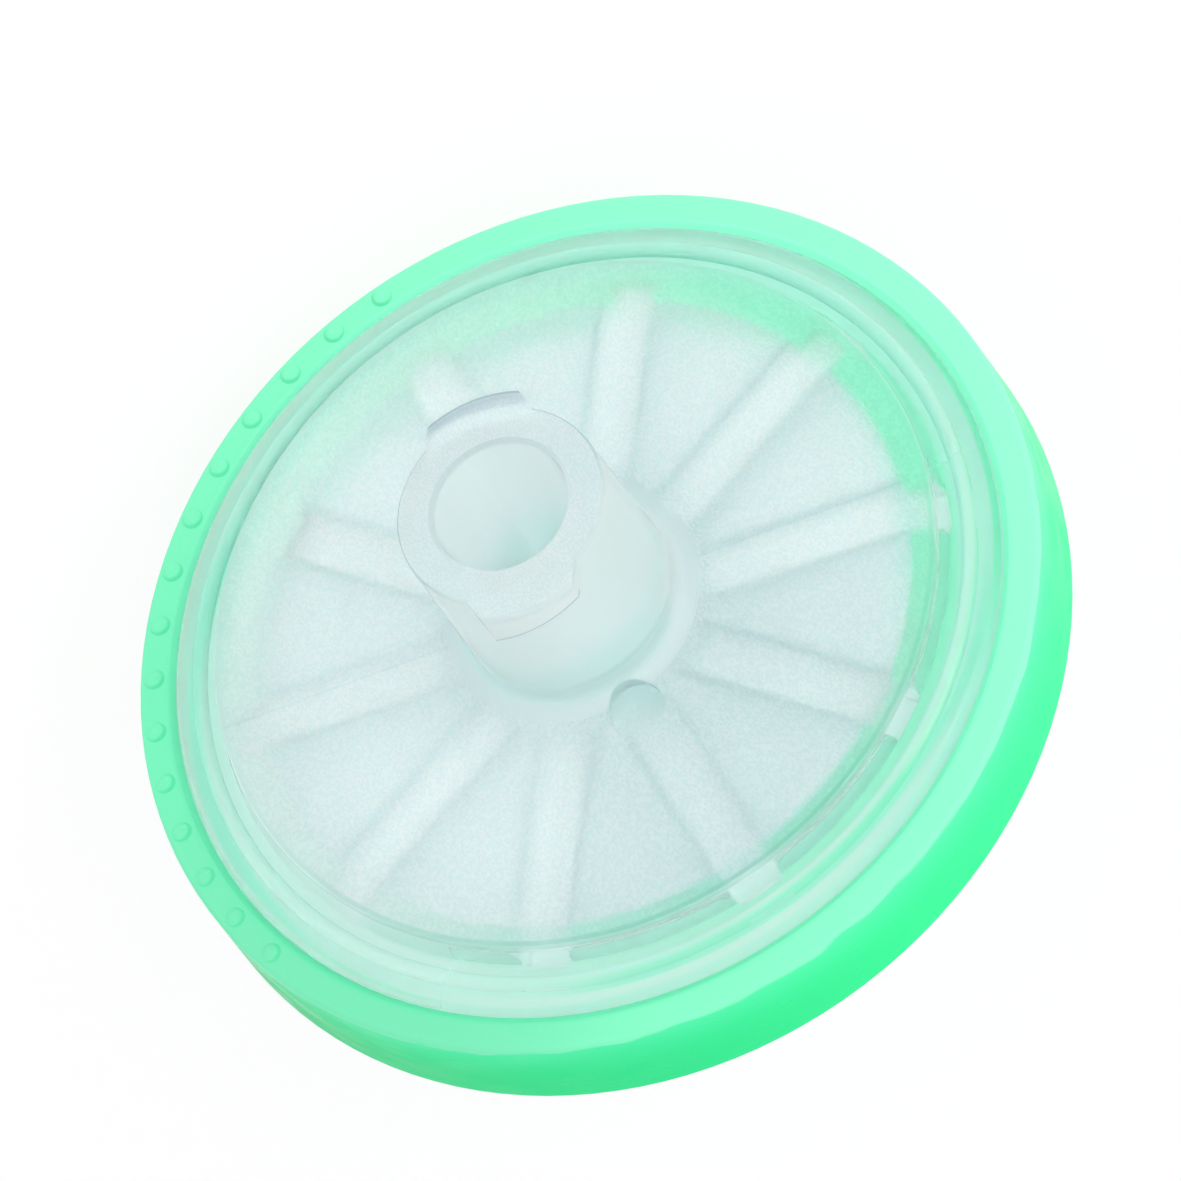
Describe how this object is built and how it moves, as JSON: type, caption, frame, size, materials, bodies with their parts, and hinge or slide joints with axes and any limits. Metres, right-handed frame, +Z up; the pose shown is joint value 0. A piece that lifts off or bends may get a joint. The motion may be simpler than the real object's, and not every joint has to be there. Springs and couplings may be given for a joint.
{
  "type": "syringe filter",
  "caption": "Disc-shaped syringe filter with a female locking hub, a frosted ribbed chamber, a green moulded ring and a male slip nozzle.",
  "frame": {"origin": "on the bench, under the middle of the filter's box as it lies at rest", "axes": "+Z is up from the bench. The filter's own axis leans 33.5 degrees from +Z towards +X, so the ring touches the bench on its +X side and the nozzle's tip touches it near the middle. +Y is across the lean, along a level diameter of the ring."},
  "size_m": [0.0258, 0.0288, 0.0192],
  "materials": {
    "inlet_housing": "frosted translucent polypropylene, fine grain on the disc and the hub's face",
    "outlet_housing": "frosted translucent polypropylene",
    "membrane": "matt white porous sheet",
    "overmould_ring": "satin translucent green polypropylene"
  },
  "bodies": {
    "root": {"inlet_housing": "inlet_housing", "outlet_housing": "outlet_housing", "membrane": "membrane", "overmould_ring": "overmould_ring"}
  },
  "joints": []
}
